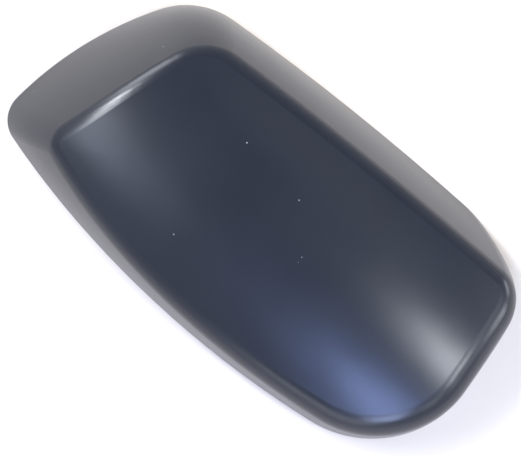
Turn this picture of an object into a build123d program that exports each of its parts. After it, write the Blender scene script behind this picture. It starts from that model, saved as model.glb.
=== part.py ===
"""Wing mirror cover: one thin plastic moulding with a crowned face, sloping walls and fixings inside.

The cover lies on its flat rim. X runs from the inboard end to the outboard end, Y from the lower side to
the upper side and Z out of the face. Lists of sides run in the order lower, outboard, upper, inboard, and
lists of corners start at the lower inboard one.
"""

import math
import os

from build123d import *

# Rim outline before its corners are rounded, and how far each side bows out between its corners
rim_length = 232.2
outboard_end_width = 102.7
outboard_end_lean = 7.7
lower_side_rise = 7.9
upper_side_rise = 4.6
inboard_end_lean = 31.0
lower_bow = 15.5
outboard_bow = 1.5
upper_bow = 4.0
inboard_bow = 9.0

# Rounded corners of the rim, of the walls halfway up, and of the walls where they end above the face
lower_inboard_radius = 15.0
lower_outboard_radius = 48.0
upper_outboard_radius = 53.0
upper_inboard_radius = 34.0
lower_inboard_middle_radius = 13.0
lower_outboard_middle_radius = 40.0
upper_outboard_middle_radius = 18.0
upper_inboard_middle_radius = 25.0
lower_inboard_top_radius = 12.0
lower_outboard_top_radius = 20.0
upper_outboard_top_radius = 10.0
upper_inboard_top_radius = 20.0

# Mean slope of the walls from upright, in degrees: most of them twist from one end to the other
lower_slope_inboard = 3.5
lower_slope_outboard = 11.0
outboard_slope = 2.5
upper_slope_outboard = 37.0
upper_slope_inboard = 29.0
inboard_slope_upper = 36.0
inboard_slope_lower = 49.0

# How far the walls swell out halfway up
lower_swell_inboard = 1.6
lower_swell_outboard = 3.0
outboard_swell = 1.0
upper_swell_outboard = 2.0
upper_swell_inboard = 4.0
inboard_swell_upper = 4.5
inboard_swell_lower = 3.5

# Crowned face: level at the ridge beside the inboard wall, and falling away towards the outboard end, with
# a cross curve that flattens on the way and a crest that comes in from the upper side
ridge_height = 48.0
ridge_distance = 52.0
ridge_bow = 6.0
walls_above_ridge = 4.0
face_fall = 20.0
face_radius_inboard = 86.0
face_radius_outboard = 150.0
face_crest_inboard = 18.0
face_crest_outboard = 6.0
face_edge_radius = 10.5

# Moulding
wall_thickness = 2.5

# Where the face's loft has its sections: shares of the rim's length from its middle
crown_section_shares = (-0.6, 0.0, 0.6)

# Snap hooks: tabs that hang inside the walls, each with a barb at its free end and a fin at its root
hook_width = 12.0
hook_thickness = 2.0
hook_rim_gap = 3.0
barb_depth = 1.6
barb_height = 4.0
fin_thickness = 1.6
fin_depth = 6.0
fin_rise = 12.0
lower_hook_standoff = 10.0
outboard_hook_standoff = 10.0
upper_hook_standoff = 16.0
inboard_hook_standoff = 22.0
lower_hook_shares = (0.32, 0.68)
outboard_hook_shares = (0.5,)
upper_hook_shares = (0.3, 0.72)
inboard_hook_shares = (0.55,)

# Locating pins, each under a cross-shaped post
pin_radius = 3.0
pin_length = 12.0
pin_rim_gap = 5.0
pin_chamfer = 0.8
post_width = 12.0
post_thickness = 2.0
inboard_pin_from_corner = (32.0, 22.0)
outboard_pin_from_corner = (-30.0, -34.0)

walls_height = ridge_height + walls_above_ridge
rim_bows = [lower_bow, outboard_bow, upper_bow, inboard_bow]
top_bows = [lower_bow, outboard_bow, upper_bow, ridge_bow]
rim_radii = [lower_inboard_radius, lower_outboard_radius, upper_outboard_radius, upper_inboard_radius]
middle_radii = [
    lower_inboard_middle_radius,
    lower_outboard_middle_radius,
    upper_outboard_middle_radius,
    upper_inboard_middle_radius,
]
top_radii = [
    lower_inboard_top_radius,
    lower_outboard_top_radius,
    upper_outboard_top_radius,
    upper_inboard_top_radius,
]
wall_levels = [(0.0, rim_radii), (0.5, middle_radii), (1.0, top_radii)]
wall_slopes = [
    (lower_slope_inboard, lower_slope_outboard),
    (outboard_slope, outboard_slope),
    (upper_slope_outboard, upper_slope_inboard),
    (inboard_slope_upper, inboard_slope_lower),
]
wall_swells = [
    (lower_swell_inboard, lower_swell_outboard),
    (outboard_swell, outboard_swell),
    (upper_swell_outboard, upper_swell_inboard),
    (inboard_swell_upper, inboard_swell_lower),
]

lower_outboard_corner = Vector(rim_length / 2, -outboard_end_width / 2)
upper_outboard_corner = lower_outboard_corner + Vector(-outboard_end_lean, outboard_end_width)
lower_inboard_corner = lower_outboard_corner + Vector(-rim_length, lower_side_rise)
upper_inboard_corner = Vector(
    lower_inboard_corner.X + inboard_end_lean,
    upper_outboard_corner.Y + upper_side_rise,
)
rim_corners = [lower_inboard_corner, lower_outboard_corner, upper_outboard_corner, upper_inboard_corner]


def sides_between(corners):
    """Each side's first and last corner, going round."""
    return zip(corners, corners[1:] + corners[:1])


def moved_corners(moves):
    """The rim's corners after each side moves inwards, by one distance at its start and one at its end."""
    lines = []
    for (start, end), (start_move, end_move) in zip(sides_between(rim_corners), moves):
        inward = (end - start).normalized().rotate(Axis.Z, 90)
        moved_start = start + inward * start_move
        moved_end = end + inward * end_move
        lines.append(Axis(moved_start, moved_end - moved_start))
    return [before.intersect(after) for before, after in zip(lines[-1:] + lines[:-1], lines)]


def wall_level(share, radii, inset):
    """The walls' outline at a share of their height, inside the outer skin by the inset."""
    height = share * walls_height
    swelling = 4 * share * (1 - share)
    moves = []
    for slopes, swells in zip(wall_slopes, wall_swells):
        angles = [math.radians(slope) for slope in slopes]
        skin = inset / math.cos(sum(angles) / 2)
        moves.append([height * math.tan(a) - swell * swelling + skin for a, swell in zip(angles, swells)])
    corners = moved_corners(moves)
    bows = [rim + (top - rim) * share for rim, top in zip(rim_bows, top_bows)]
    with BuildSketch(Plane.XY.offset(height)) as level:
        with BuildLine():
            for (start, end), bow in zip(sides_between(corners), bows):
                SagittaArc(start, end, -bow)
        make_face()
        for corner, radius in zip(corners, radii):
            fillet(level.vertices().sort_by_distance(corner)[0], radius - inset)
    return level.sketch


def crest_height(x):
    """Height of the face along its crest."""
    ridge_x = lower_inboard_corner.X + ridge_distance
    return ridge_height - face_fall * ((x - ridge_x) / (lower_outboard_corner.X - ridge_x)) ** 2


def crown_section(x, inset):
    """A cut across the crowned face: an arc over a block that is wider and deeper than the cover."""
    reach = outboard_end_width
    along = x / rim_length + 0.5
    radius = face_radius_inboard + (face_radius_outboard - face_radius_inboard) * along
    middle = face_crest_inboard + (face_crest_outboard - face_crest_inboard) * along
    crest = crest_height(x) - inset
    edge = crest - reach**2 / (2 * radius)
    low = (middle - reach, edge)
    high = (middle + reach, edge)
    with BuildSketch(Plane.YZ.offset(x)) as section:
        with BuildLine():
            ThreePointArc(low, (middle, crest), high)
            Polyline(high, (high[0], -reach), (low[0], -reach), low)
        make_face()
    return section.sketch


def sharp_form(inset):
    """The cover as a solid block with a sharp edge round its face, inside the outer skin by the inset."""
    with BuildPart() as crown:
        for share in crown_section_shares:
            add(crown_section(share * rim_length, inset))
        loft()
    with BuildPart() as form:
        for share, radii in wall_levels:
            add(wall_level(share, radii, inset))
        loft()
        add(crown.part, mode=Mode.INTERSECT)
    return form.part


def hook_planes():
    """A plane for each hook's profile, on the hook's inner side, with X pointing out towards the rim."""
    standoffs = [lower_hook_standoff, outboard_hook_standoff, upper_hook_standoff, inboard_hook_standoff]
    shares = [lower_hook_shares, outboard_hook_shares, upper_hook_shares, inboard_hook_shares]
    sides = zip(sides_between(rim_corners), rim_bows, standoffs, shares)
    planes = []
    for (start, end), bow, standoff, side_shares in sides:
        side = SagittaArc(start, end, -bow)
        for share in side_shares:
            along = side % share
            outward = along.rotate(Axis.Z, -90)
            planes.append(Plane(side @ share - outward * standoff, x_dir=outward, z_dir=-along))
    return planes


def moulded_form(inset):
    """The cover as a solid block with a rounded edge round its face, inside the outer skin by the inset."""
    with BuildPart() as form:
        add(sharp_form(inset))
        face = form.faces().sort_by(Axis.Z)[-1]
        fillet(face.edges(), face_edge_radius - inset)
    return form.part


outer_form = moulded_form(0)
hollow = moulded_form(wall_thickness)
middle_of_wall = moulded_form(wall_thickness / 2)

# The fixings run up into the middle of the wall that carries them
with BuildPart() as fixings:
    for plane in hook_planes():
        barb_top = hook_rim_gap + barb_height
        fin_foot = hook_rim_gap + fin_rise
        with BuildSketch(plane):
            Polygon(
                (0, hook_rim_gap),
                (hook_thickness, hook_rim_gap),
                (hook_thickness + barb_depth, barb_top),
                (hook_thickness, barb_top),
                (hook_thickness, walls_height),
                (0, walls_height),
                align=None,
            )
        extrude(amount=hook_width / 2, both=True)
        with BuildSketch(plane):
            Polygon(
                (hook_thickness, fin_foot),
                (0, fin_foot),
                (-fin_depth, fin_foot + fin_depth),
                (-fin_depth, walls_height),
                (hook_thickness, walls_height),
                align=None,
            )
        extrude(amount=fin_thickness / 2, both=True)
    for corner, offset in (
        (lower_inboard_corner, inboard_pin_from_corner),
        (upper_outboard_corner, outboard_pin_from_corner),
    ):
        pin_centre = corner + Vector(*offset)
        with BuildSketch(Plane(pin_centre).offset(pin_rim_gap + pin_length)):
            Rectangle(post_width, post_thickness)
            Rectangle(post_thickness, post_width)
        extrude(amount=walls_height)
        with BuildSketch(Plane(pin_centre).offset(pin_rim_gap)):
            Circle(pin_radius)
        extrude(amount=pin_length)
        pin_tip = fixings.faces().sort_by_distance(pin_centre)[0]
        chamfer(pin_tip.edges(), pin_chamfer)
    add(middle_of_wall, mode=Mode.INTERSECT)

rim_centre = outer_form.bounding_box().center()
with BuildPart() as mirror_cover:
    with Locations((-rim_centre.X, -rim_centre.Y)):
        add(outer_form)
        add(hollow, mode=Mode.SUBTRACT)
        add(fixings.part)

mirror_cover.part.label = "mirror_cover"
os.makedirs("parts", exist_ok=True)
export_step(mirror_cover.part, "parts/mirror_cover.step")
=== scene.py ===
"""Looks of the wing mirror cover: satin primed plastic on a white table, seen from above as in the photo.

Lengths are in metres in the part's own frame. Azimuth 0 is at the cover's lower side, looking up across it,
and azimuth 90 at its outboard end. Elevation is above the table. Both are in degrees.
"""

import math

import bpy
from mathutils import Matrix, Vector

# Camera, fitted to the cover's outline in the photo
image_width_pixels = 521
focal_length_pixels = 1700.0
sensor_width_mm = 36.0
camera_azimuth = 40.0
camera_elevation = 74.0
camera_distance = 0.7
camera_target = Vector((0.010815, -0.014014, 0.025))

# Primer: its tint and roughness drift with a soft cloud pattern, and a fine grain ruffles it
primer_dark = (0.0130, 0.0153, 0.0225, 1)
primer_light = (0.0153, 0.0180, 0.0256, 1)
primer_least_roughness = 0.24
primer_most_roughness = 0.27
cloud_scale = 30.0
cloud_detail = 3.0
cloud_dark_below = 0.3
cloud_light_above = 0.7
grain_scale = 2200.0
grain_detail = 2.0
grain_strength = 0.04
grain_depth = 0.0001

# Dust: a dot at the seed of some cells of a cell pattern, its radius in units of that pattern
dust_colour = (0.38, 0.39, 0.4, 1)
dust_cell_scale = 128.0
dust_dot_radius = 0.034
dust_cell_share = 0.18

# Table, just under the rim
table_size = 6.0
table_drop = 0.0002
table_colour = (0.76, 0.69, 0.605, 1)
table_roughness = 0.8

# Room: bright at the horizon, and dim from a ceiling that starts at this sine of the elevation
horizon_colour = (0.86, 0.9, 0.96, 1)
ceiling_colour = (0.20, 0.215, 0.25, 1)
ceiling_sine = 0.8

# Lamps: how far they stand from the camera's target, and the colours of their light
lamp_distance = 1.2
near_lamp_distance = 0.55
daylight = (0.9, 0.935, 1.0)
pale_blue = (0.8, 0.88, 1.0)
light_blue = (0.7, 0.83, 1.0)
mid_blue = (0.5, 0.61, 1.0)
deep_blue = (0.36, 0.49, 1.0)

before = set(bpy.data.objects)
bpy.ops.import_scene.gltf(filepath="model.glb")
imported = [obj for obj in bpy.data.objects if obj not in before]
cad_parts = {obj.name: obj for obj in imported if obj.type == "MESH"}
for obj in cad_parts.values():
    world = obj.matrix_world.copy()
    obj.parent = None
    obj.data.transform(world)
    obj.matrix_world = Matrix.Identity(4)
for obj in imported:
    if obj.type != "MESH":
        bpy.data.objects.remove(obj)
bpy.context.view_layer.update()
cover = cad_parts["mirror_cover"]
scene = bpy.context.scene


def direction(azimuth, elevation):
    """Unit vector from the cover towards that azimuth and elevation."""
    a, e = math.radians(azimuth), math.radians(elevation)
    return Vector((math.sin(a) * math.cos(e), -math.cos(a) * math.cos(e), math.sin(e)))


def aim(thing, target):
    """Turns a camera or a lamp to face the target."""
    thing.rotation_euler = (target - thing.location).to_track_quat("-Z", "Y").to_euler()


def new_material(name):
    """A new material and its shader."""
    material = bpy.data.materials.new(name)
    material.use_nodes = True
    return material, material.node_tree.nodes["Principled BSDF"]


def noise(tree, place, scale, detail):
    """The value of a noise pattern."""
    pattern = tree.nodes.new("ShaderNodeTexNoise")
    pattern.inputs["Scale"].default_value = scale
    pattern.inputs["Detail"].default_value = detail
    tree.links.new(place, pattern.inputs["Vector"])
    return pattern.outputs["Fac"]


def is_below(tree, value, limit):
    """1 where the value is below the limit, and 0 elsewhere."""
    test = tree.nodes.new("ShaderNodeMath")
    test.operation = "LESS_THAN"
    test.inputs[1].default_value = limit
    tree.links.new(value, test.inputs[0])
    return test.outputs["Value"]


def blend(tree, value, low, low_colour, high, high_colour):
    """A colour that goes from one to the other as the value rises from low to high."""
    ramp = tree.nodes.new("ShaderNodeValToRGB")
    first, last = ramp.color_ramp.elements
    first.position = low
    first.color = low_colour
    last.position = high
    last.color = high_colour
    tree.links.new(value, ramp.inputs["Fac"])
    return ramp.outputs["Color"]


def dust_specks(tree, place):
    """A mask with a few tiny dots: 1 on a dot and 0 elsewhere."""
    nodes, links = tree.nodes, tree.links
    cells = nodes.new("ShaderNodeTexVoronoi")
    cells.inputs["Scale"].default_value = dust_cell_scale
    links.new(place, cells.inputs["Vector"])
    cell_number = nodes.new("ShaderNodeSeparateColor")
    links.new(cells.outputs["Color"], cell_number.inputs["Color"])
    specks = nodes.new("ShaderNodeMath")
    specks.operation = "MULTIPLY"
    links.new(is_below(tree, cells.outputs["Distance"], dust_dot_radius), specks.inputs[0])
    links.new(is_below(tree, cell_number.outputs["Red"], dust_cell_share), specks.inputs[1])
    return specks.outputs["Value"]


def primed_plastic():
    """Dark blue-grey primer: satin, with a fine mist grain and a few specks of dust."""
    material, shader = new_material("primed_plastic")
    tree = material.node_tree
    nodes, links = tree.nodes, tree.links
    place = nodes.new("ShaderNodeTexCoord").outputs["Object"]
    cloud = noise(tree, place, cloud_scale, cloud_detail)

    tint = blend(tree, cloud, cloud_dark_below, primer_dark, cloud_light_above, primer_light)
    dusted = nodes.new("ShaderNodeMixRGB")
    dusted.inputs["Color2"].default_value = dust_colour
    links.new(dust_specks(tree, place), dusted.inputs["Fac"])
    links.new(tint, dusted.inputs["Color1"])
    links.new(dusted.outputs["Color"], shader.inputs["Base Color"])

    roughness = nodes.new("ShaderNodeMapRange")
    roughness.inputs["To Min"].default_value = primer_least_roughness
    roughness.inputs["To Max"].default_value = primer_most_roughness
    links.new(cloud, roughness.inputs["Value"])
    links.new(roughness.outputs["Result"], shader.inputs["Roughness"])

    bump = nodes.new("ShaderNodeBump")
    bump.inputs["Strength"].default_value = grain_strength
    bump.inputs["Distance"].default_value = grain_depth
    links.new(noise(tree, place, grain_scale, grain_detail), bump.inputs["Height"])
    links.new(bump.outputs["Normal"], shader.inputs["Normal"])
    return material


def white_table():
    """A wide white sheet under the cover."""
    bpy.ops.mesh.primitive_plane_add(size=table_size, location=(0, 0, -table_drop))
    table = bpy.context.object
    table.name = "table"
    material, shader = new_material("white_card")
    shader.inputs["Base Color"].default_value = table_colour
    shader.inputs["Roughness"].default_value = table_roughness
    table.data.materials.append(material)


def room_light():
    """A dim room that is brighter towards the horizon."""
    world = bpy.data.worlds.new("room")
    world.use_nodes = True
    tree = world.node_tree
    place = tree.nodes.new("ShaderNodeTexCoord").outputs["Generated"]
    height = tree.nodes.new("ShaderNodeSeparateXYZ")
    tree.links.new(place, height.inputs["Vector"])
    colour = blend(tree, height.outputs["Z"], 0, horizon_colour, ceiling_sine, ceiling_colour)
    tree.links.new(colour, tree.nodes["Background"].inputs["Color"])
    scene.world = world


def softbox(name, at, sides, radiance, colour=daylight, distance=lamp_distance):
    """A lit panel at an azimuth and elevation, with a width and height, that faces the cover."""
    width, height = sides
    lamp = bpy.data.lights.new(name, "AREA")
    lamp.shape = "RECTANGLE"
    lamp.size = width
    lamp.size_y = height
    lamp.energy = radiance * math.pi * width * height
    lamp.color = colour
    panel = bpy.data.objects.new(name, lamp)
    scene.collection.objects.link(panel)
    panel.location = camera_target + direction(*at) * distance
    aim(panel, camera_target)


def place_camera():
    """The camera at the photo's viewing angle."""
    camera = bpy.data.objects.new("camera", bpy.data.cameras.new("camera"))
    scene.collection.objects.link(camera)
    camera.data.sensor_width = sensor_width_mm
    camera.data.lens = focal_length_pixels * sensor_width_mm / image_width_pixels
    camera.location = camera_target + direction(camera_azimuth, camera_elevation) * camera_distance
    aim(camera, camera_target)
    scene.camera = camera


plastic = primed_plastic()
cover.data.materials.clear()
cover.data.materials.append(plastic)
white_table()
room_light()

# Outboard end, for the pale glow at that end of the face
softbox("key_softbox", at=(95.5, 65.3), sides=(0.16, 0.12), radiance=46.0)
softbox("under_key_softbox", at=(97, 46), sides=(0.2, 0.36), radiance=16.0)
softbox("low_right_softbox", at=(97, 24), sides=(0.3, 0.25), radiance=2.5)

# Upper side and the corner between it and the outboard end
softbox("back_right_softbox", at=(119, 20), sides=(0.3, 0.4), radiance=6.5)
softbox("back_strip", at=(146, 12), sides=(0.4, 0.25), radiance=6.0)
softbox("back_ceiling", at=(175, 68), sides=(0.6, 0.4), radiance=0.45)
softbox("near_right_panel", at=(126, 42), sides=(0.18, 0.16), radiance=1.8, distance=near_lamp_distance)

# Corner between the lower side and the outboard end
softbox(
    "near_front_panel",
    at=(47, 35),
    sides=(0.14, 0.22),
    radiance=13.0,
    colour=mid_blue,
    distance=near_lamp_distance,
)
softbox("front_right_panel", at=(73, 34), sides=(0.25, 0.4), radiance=2.2)

# Inboard end and its lower corner, for the streak along the ridge
softbox("left_window", at=(272, 40), sides=(0.16, 0.22), radiance=49.0)
softbox("upper_left_window", at=(286, 48.5), sides=(0.2, 0.22), radiance=28.0)
softbox("ridge_window", at=(302, 50), sides=(0.22, 0.2), radiance=17.0)
softbox("corner_window", at=(316, 46), sides=(0.22, 0.17), radiance=7.0, colour=pale_blue)
softbox("corner_glow", at=(318, 53), sides=(0.36, 0.36), radiance=1.6, colour=light_blue)
softbox("low_left_panel", at=(254, 23), sides=(0.42, 0.42), radiance=6.5)

# Lower side, for the blue glow on the face
softbox("front_window", at=(41, 59), sides=(0.3, 0.17), radiance=21.0, colour=deep_blue)
softbox("front_sky", at=(18, 56), sides=(0.28, 0.2), radiance=2.8, colour=deep_blue)
softbox("front_panel", at=(20, 18), sides=(0.8, 0.5), radiance=1.6)

place_camera()
scene.view_settings.view_transform = "Standard"
